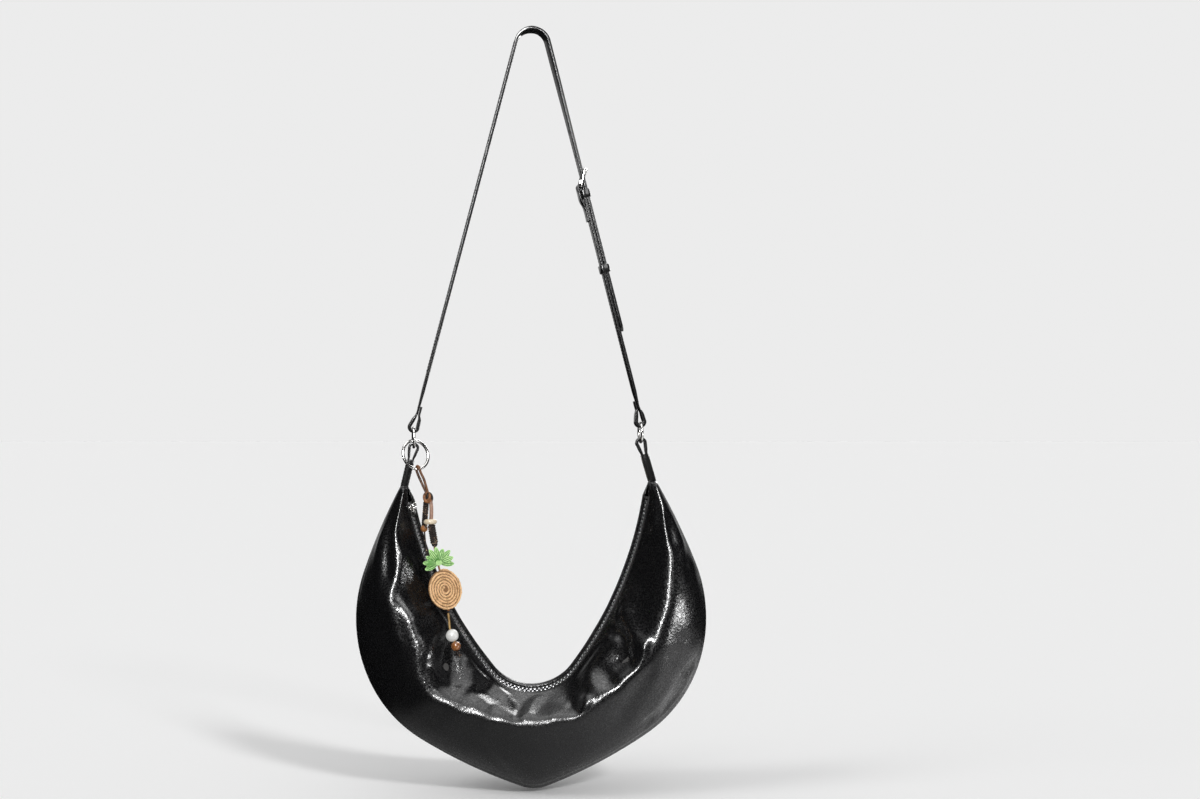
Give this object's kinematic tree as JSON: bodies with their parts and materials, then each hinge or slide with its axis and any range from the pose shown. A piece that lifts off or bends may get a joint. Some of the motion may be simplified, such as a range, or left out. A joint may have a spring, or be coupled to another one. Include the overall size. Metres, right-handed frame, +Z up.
{
  "type": "half moon bag",
  "caption": "Crescent-shaped soft leather shoulder bag with a zip along its concave edge, a buckled strap on link rings and a hanging bead-and-straw charm.",
  "frame": {"origin": "on the underside of the strap at its highest point, midway across its width, where the bag hangs from a hook or a shoulder", "axes": "+Z is up, -Y is the side with the charm's face, +X is the side with the buckle; the bag hangs in the XZ plane"},
  "size_m": [0.3512, 0.112, 0.7624],
  "materials": {
    "strap_leather": "black pull-up leather with a waxy gloss, dyed edges",
    "body_leather": "black waxed leather, creased, glossy on the folds",
    "lining_cloth": "dark woven lining",
    "pocket_cloth": "dark woven lining",
    "zip_cloth": "black woven zip tape",
    "zip_metal": "dark polished metal",
    "nickel": "polished nickel",
    "brown_cord": "brown waxed cord",
    "dark_braid": "dark brown braided cord",
    "tan_cord": "tan leather cord",
    "pale_wood": "smooth pale wood",
    "green_straw": "dyed green straw",
    "raffia": "plaited natural raffia",
    "white_glass": "white, glossy",
    "brown_glass": "brown, glossy, clouded"
  },
  "bodies": {
    "strap": {"long_strap": "strap_leather", "short_strap": "strap_leather", "buckle_frame": "nickel", "fixed_keeper": "strap_leather"},
    "prong": {"buckle_prong": "nickel"},
    "loose_keeper": {"sliding_keeper": "strap_leather"},
    "ring_left": {"left_ring": "nickel"},
    "ring_right": {"right_ring": "nickel"},
    "bag": {"left_tab": "strap_leather", "right_tab": "strap_leather", "front_panel": "body_leather", "back_panel": "body_leather", "lining": "lining_cloth", "slip_pocket": "pocket_cloth", "front_zip_tape": "zip_cloth", "back_zip_tape": "zip_cloth", "front_teeth": "zip_metal", "back_teeth": "zip_metal", "zip_stops": "zip_metal"},
    "slider": {"zip_slider": "nickel"},
    "pull": {"zip_pull": "nickel"},
    "spring_ring": {"charm_ring": "nickel"},
    "gate": {"charm_gate": "nickel"},
    "charm": {"charm_loop": "brown_cord", "charm_knot": "brown_cord", "upper_strand": "tan_cord", "disc_bead": "pale_wood", "charm_braid": "dark_braid", "side_braid": "dark_braid", "side_strand": "dark_braid"},
    "pineapple": {"straw_leaves": "green_straw", "raffia_disc": "raffia", "spine_cord": "brown_cord"},
    "tail": {"tail_cord": "tan_cord", "white_bead": "white_glass", "brown_bead": "brown_glass", "end_knot": "brown_cord"}
  },
  "joints": [
    {"name": "bag_swing", "type": "hinge", "parent": "strap", "child": "bag", "pos_m": [-0.0045, 0, -0.404], "axis": [0.9997, 0, 0.0227], "range_deg": [-40, 40]},
    {"name": "left_ring_turn", "type": "hinge", "parent": "strap", "child": "ring_left", "pos_m": [-0.11794, 0, -0.40657], "axis": [0.9997, 0, 0.0227], "range_deg": [-20, 20]},
    {"name": "right_ring_turn", "type": "hinge", "parent": "strap", "child": "ring_right", "pos_m": [0.10894, 0, -0.40143], "axis": [0.9997, 0, 0.0227], "range_deg": [-20, 20]},
    {"name": "prong_tilt", "type": "hinge", "parent": "strap", "child": "prong", "pos_m": [0.04827, 0, -0.15647], "axis": [-0.1515, 0.9877, -0.0389], "range_deg": [0, 6]},
    {"name": "keeper_slide", "type": "slide", "parent": "strap", "child": "loose_keeper", "axis": [-0.2488, 0, 0.9686], "range_m": [-0.05, 0.04]},
    {"name": "zip_slide", "type": "hinge", "parent": "bag", "child": "slider", "pos_m": [0.26551, 0, -0.38849], "axis": [0, -1, 0], "range_deg": [0, 25]},
    {"name": "pull_flip", "type": "hinge", "parent": "slider", "child": "pull", "pos_m": [-0.11737, -0.00075, -0.47849], "axis": [0.3959, 0.9135, 0.0931], "range_deg": [-20, 120]},
    {"name": "charm_ring_swing", "type": "hinge", "parent": "bag", "child": "spring_ring", "pos_m": [-0.11811, 0, -0.40954], "axis": [-0.7878, -0.6157, -0.0179], "range_deg": [0, 25]},
    {"name": "gate_open", "type": "hinge", "parent": "spring_ring", "child": "gate", "pos_m": [-0.12356, -0.01166, -0.43181], "axis": [-0.5917, 0.7646, -0.2554], "range_deg": [0, 20]},
    {"name": "charm_swing", "type": "hinge", "parent": "spring_ring", "child": "charm", "pos_m": [-0.11315, -0.00553, -0.43758], "axis": [-0.7878, -0.6157, -0.0179], "range_deg": [0, 30]},
    {"name": "pineapple_swing", "type": "hinge", "parent": "charm", "child": "pineapple", "pos_m": [-0.09458, -0.02131, -0.51603], "axis": [-0.9997, 0, -0.0227], "range_deg": [0, 20]},
    {"name": "tail_swing", "type": "hinge", "parent": "pineapple", "child": "tail", "pos_m": [-0.08083, -0.02867, -0.5787], "axis": [-0.9997, 0, -0.0227], "range_deg": [0, 25]}
  ],
  "couplings": [
    {"joint": "left_ring_turn", "follows": "bag_swing", "ratio": 0.5},
    {"joint": "right_ring_turn", "follows": "bag_swing", "ratio": 0.5}
  ]
}
